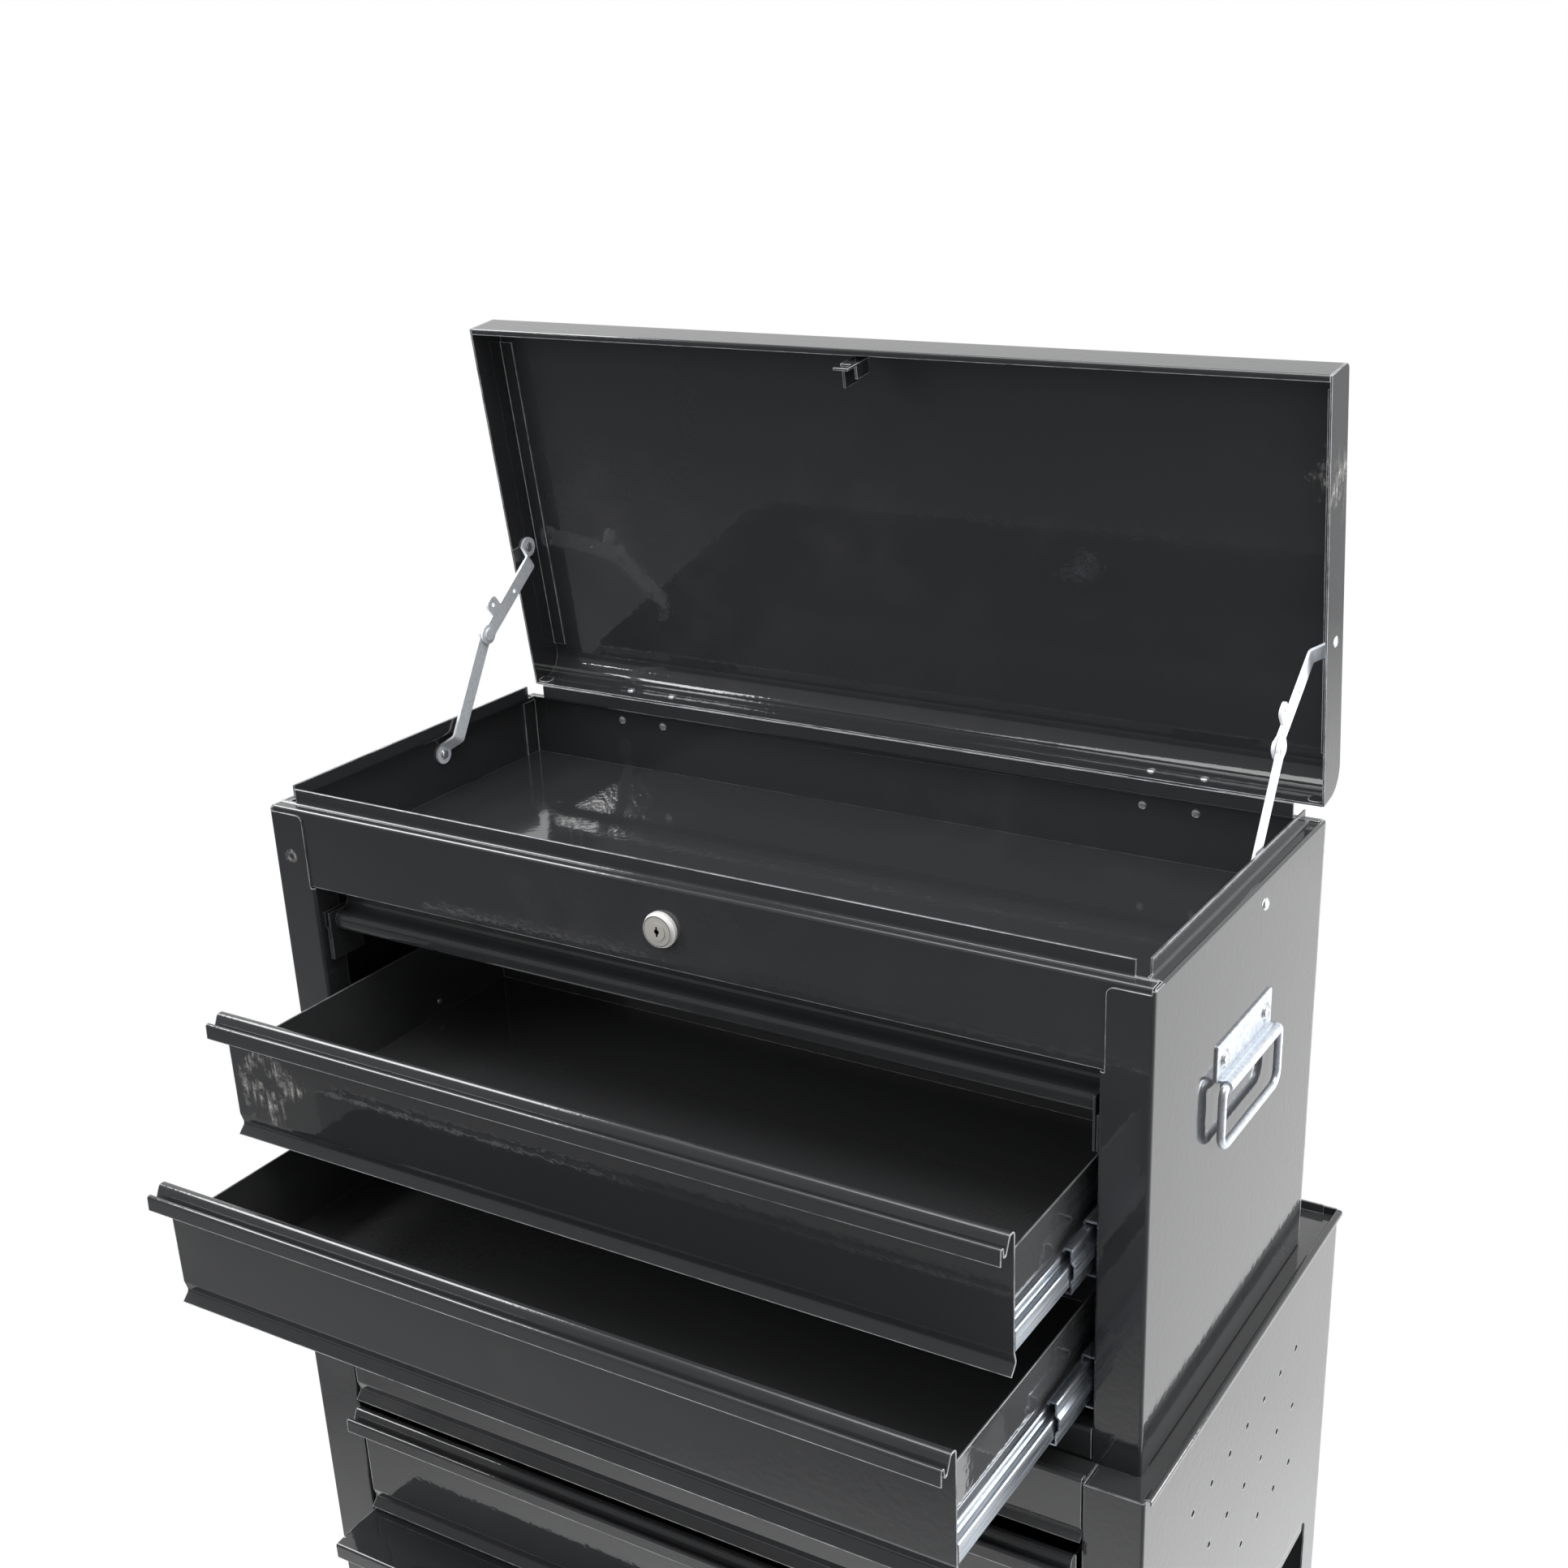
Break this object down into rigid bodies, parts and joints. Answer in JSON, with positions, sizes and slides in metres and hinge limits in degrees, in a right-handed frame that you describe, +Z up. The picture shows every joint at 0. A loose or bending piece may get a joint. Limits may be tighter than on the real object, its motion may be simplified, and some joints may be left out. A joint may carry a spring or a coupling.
{
  "type": "rolling tool chest",
  "caption": "Steel top chest with hinged lid, till and slide-out drawers, standing on a roller cabinet with drawers and an open bay.",
  "frame": {"origin": "centre of the box round the part at rest, on the floor under the wheels", "axes": "+Z up, the drawers open towards -Y, +X to the right seen from the front"},
  "size_m": [0.641, 0.485, 1.2734],
  "materials": {
    "black_paint": "gloss powder coat",
    "zinc": "bright zinc plate",
    "chrome": "polished",
    "tread": "moulded rubber"
  },
  "bodies": {
    "cabinet_and_chest": {"body_hinge_leaves": "zinc", "body_rivets": "zinc", "cabinet_back": "black_paint", "cabinet_divider": "black_paint", "cabinet_floor": "black_paint", "cabinet_side_left": "black_paint", "cabinet_side_right": "black_paint", "cabinet_tray": "black_paint", "caster_bolts": "zinc", "caster_mounts": "zinc", "chest_back": "black_paint", "chest_bottom": "black_paint", "chest_front_panel": "black_paint", "chest_side_left": "black_paint", "chest_side_right": "black_paint", "door_channels": "black_paint", "handle_plates": "zinc", "handle_screws": "zinc", "lip_guards": "black_paint", "lock_body": "chrome", "slide_fixed_rails": "zinc", "till_floor": "black_paint"},
    "lid": {"lid_panel": "black_paint", "lid_end_left": "black_paint", "lid_end_right": "black_paint", "lid_hinge_leaves": "zinc", "lid_rivets": "zinc", "lid_striker": "black_paint"},
    "stay_lower_left": {"stay_lower_left": "zinc"},
    "stay_upper_left": {"stay_upper_left": "zinc"},
    "handle_bail_left": {"handle_bail_left": "zinc"},
    "stay_lower_right": {"stay_lower_right": "zinc"},
    "stay_upper_right": {"stay_upper_right": "zinc"},
    "handle_bail_right": {"handle_bail_right": "zinc"},
    "lock_plug": {"lock_plug": "chrome", "lock_cam": "zinc"},
    "chest_drawer_upper": {"chest_drawer_upper_front": "black_paint", "chest_drawer_upper_tray": "black_paint", "chest_drawer_upper_rails": "zinc"},
    "chest_drawer_upper_mid_rails": {"chest_drawer_upper_mid_rails": "zinc"},
    "chest_drawer_lower": {"chest_drawer_lower_front": "black_paint", "chest_drawer_lower_tray": "black_paint", "chest_drawer_lower_rails": "zinc"},
    "chest_drawer_lower_mid_rails": {"chest_drawer_lower_mid_rails": "zinc"},
    "cabinet_drawer_upper": {"cabinet_drawer_upper_front": "black_paint", "cabinet_drawer_upper_tray": "black_paint", "cabinet_drawer_upper_rails": "zinc"},
    "cabinet_drawer_upper_mid_rails": {"cabinet_drawer_upper_mid_rails": "zinc"},
    "cabinet_drawer_lower": {"cabinet_drawer_lower_front": "black_paint", "cabinet_drawer_lower_tray": "black_paint", "cabinet_drawer_lower_rails": "zinc"},
    "cabinet_drawer_lower_mid_rails": {"cabinet_drawer_lower_mid_rails": "zinc"},
    "door_carriage": {"door_pins": "zinc"},
    "door_panel": {"door_panel": "black_paint"},
    "caster_fork_front": {"caster_fork_front": "zinc"},
    "wheel_left_front": {"wheel_left_front": "tread"},
    "wheel_right_front": {"wheel_right_front": "tread"},
    "caster_fork_rear": {"caster_fork_rear": "zinc"},
    "wheel_left_rear": {"wheel_left_rear": "tread"},
    "wheel_right_rear": {"wheel_right_rear": "tread"}
  },
  "joints": [
    {"name": "lid_hinge", "type": "hinge", "parent": "cabinet_and_chest", "child": "lid", "pos_m": [0, 0.2009, 1.005], "axis": [1, 0, 0], "range_deg": [0, 82.3]},
    {"name": "stay_lower_left_pivot", "type": "hinge", "parent": "cabinet_and_chest", "child": "stay_lower_left", "pos_m": [-0.303, 0.0918, 0.9861], "axis": [1, 0, 0], "range_deg": [-36.3, 0]},
    {"name": "stay_upper_left_pivot", "type": "hinge", "parent": "lid", "child": "stay_upper_left", "pos_m": [-0.3004, 0.20135, 1.11142], "axis": [1, 0, 0], "range_deg": [0, 61.2]},
    {"name": "stay_lower_right_pivot", "type": "hinge", "parent": "cabinet_and_chest", "child": "stay_lower_right", "pos_m": [0.303, 0.0918, 0.9861], "axis": [1, 0, 0], "range_deg": [-36.3, 0]},
    {"name": "stay_upper_right_pivot", "type": "hinge", "parent": "lid", "child": "stay_upper_right", "pos_m": [0.3004, 0.20135, 1.11142], "axis": [1, 0, 0], "range_deg": [0, 61.2]},
    {"name": "chest_drawer_upper_slide", "type": "slide", "parent": "cabinet_and_chest", "child": "chest_drawer_upper", "axis": [0, -1, 0], "range_m": [-0.091, 0.139]},
    {"name": "chest_drawer_upper_mid_slide", "type": "slide", "parent": "cabinet_and_chest", "child": "chest_drawer_upper_mid_rails", "axis": [0, -1, 0], "range_m": [-0.02467, 0.03763]},
    {"name": "chest_drawer_lower_slide", "type": "slide", "parent": "cabinet_and_chest", "child": "chest_drawer_lower", "axis": [0, -1, 0], "range_m": [-0.155, 0.075]},
    {"name": "chest_drawer_lower_mid_slide", "type": "slide", "parent": "cabinet_and_chest", "child": "chest_drawer_lower_mid_rails", "axis": [0, -1, 0], "range_m": [-0.04195, 0.02035]},
    {"name": "cabinet_drawer_upper_slide", "type": "slide", "parent": "cabinet_and_chest", "child": "cabinet_drawer_upper", "axis": [0, -1, 0], "range_m": [0, 0.28]},
    {"name": "cabinet_drawer_upper_mid_slide", "type": "slide", "parent": "cabinet_and_chest", "child": "cabinet_drawer_upper_mid_rails", "axis": [0, -1, 0], "range_m": [0, 0.0757]},
    {"name": "cabinet_drawer_lower_slide", "type": "slide", "parent": "cabinet_and_chest", "child": "cabinet_drawer_lower", "axis": [0, -1, 0], "range_m": [0, 0.28]},
    {"name": "cabinet_drawer_lower_mid_slide", "type": "slide", "parent": "cabinet_and_chest", "child": "cabinet_drawer_lower_mid_rails", "axis": [0, -1, 0], "range_m": [0, 0.0757]},
    {"name": "lock_turn", "type": "hinge", "parent": "cabinet_and_chest", "child": "lock_plug", "pos_m": [0, -0.0711, 0.975], "axis": [0, 1, 0], "range_deg": [0, 90]},
    {"name": "bail_right_swing", "type": "hinge", "parent": "cabinet_and_chest", "child": "handle_bail_right", "pos_m": [0.311, 0.0639, 0.903], "axis": [0, -1, 0], "range_deg": [0, 90]},
    {"name": "bail_left_swing", "type": "hinge", "parent": "cabinet_and_chest", "child": "handle_bail_left", "pos_m": [-0.311, 0.0639, 0.903], "axis": [0, 1, 0], "range_deg": [0, 90]},
    {"name": "door_slide", "type": "slide", "parent": "cabinet_and_chest", "child": "door_carriage", "axis": [0, 1, 0], "range_m": [-0.2175, 0.042]},
    {"name": "door_swing", "type": "hinge", "parent": "door_carriage", "child": "door_panel", "pos_m": [0, 0.1469, 0.461], "axis": [1, 0, 0], "range_deg": [0, 90]},
    {"name": "caster_front_swivel", "type": "hinge", "parent": "cabinet_and_chest", "child": "caster_fork_front", "pos_m": [0.27, -0.0471, 0.12], "axis": [0, 0, 1], "continuous": true},
    {"name": "wheel_right_front_spin", "type": "hinge", "parent": "caster_fork_front", "child": "wheel_right_front", "pos_m": [0.242, -0.0471, 0.05], "axis": [0, 1, 0], "continuous": true},
    {"name": "wheel_left_front_spin", "type": "hinge", "parent": "cabinet_and_chest", "child": "wheel_left_front", "pos_m": [-0.27, -0.0471, 0.05], "axis": [0, 1, 0], "continuous": true},
    {"name": "caster_rear_swivel", "type": "hinge", "parent": "cabinet_and_chest", "child": "caster_fork_rear", "pos_m": [0.27, 0.1945, 0.12], "axis": [0, 0, 1], "continuous": true},
    {"name": "wheel_right_rear_spin", "type": "hinge", "parent": "caster_fork_rear", "child": "wheel_right_rear", "pos_m": [0.242, 0.1945, 0.05], "axis": [0, 1, 0], "continuous": true},
    {"name": "wheel_left_rear_spin", "type": "hinge", "parent": "cabinet_and_chest", "child": "wheel_left_rear", "pos_m": [-0.27, 0.1945, 0.05], "axis": [0, 1, 0], "continuous": true}
  ],
  "couplings": [
    {"joint": "stay_lower_left_pivot", "follows": "lid_hinge", "ratio": -0.43993},
    {"joint": "stay_upper_left_pivot", "follows": "lid_hinge", "ratio": 0.7426},
    {"joint": "stay_lower_right_pivot", "follows": "lid_hinge", "ratio": -0.43993},
    {"joint": "stay_upper_right_pivot", "follows": "lid_hinge", "ratio": 0.7426},
    {"joint": "chest_drawer_upper_mid_slide", "follows": "chest_drawer_upper_slide", "ratio": 0.27},
    {"joint": "chest_drawer_lower_mid_slide", "follows": "chest_drawer_lower_slide", "ratio": 0.27},
    {"joint": "cabinet_drawer_upper_mid_slide", "follows": "cabinet_drawer_upper_slide", "ratio": 0.27},
    {"joint": "cabinet_drawer_lower_mid_slide", "follows": "cabinet_drawer_lower_slide", "ratio": 0.27}
  ]
}
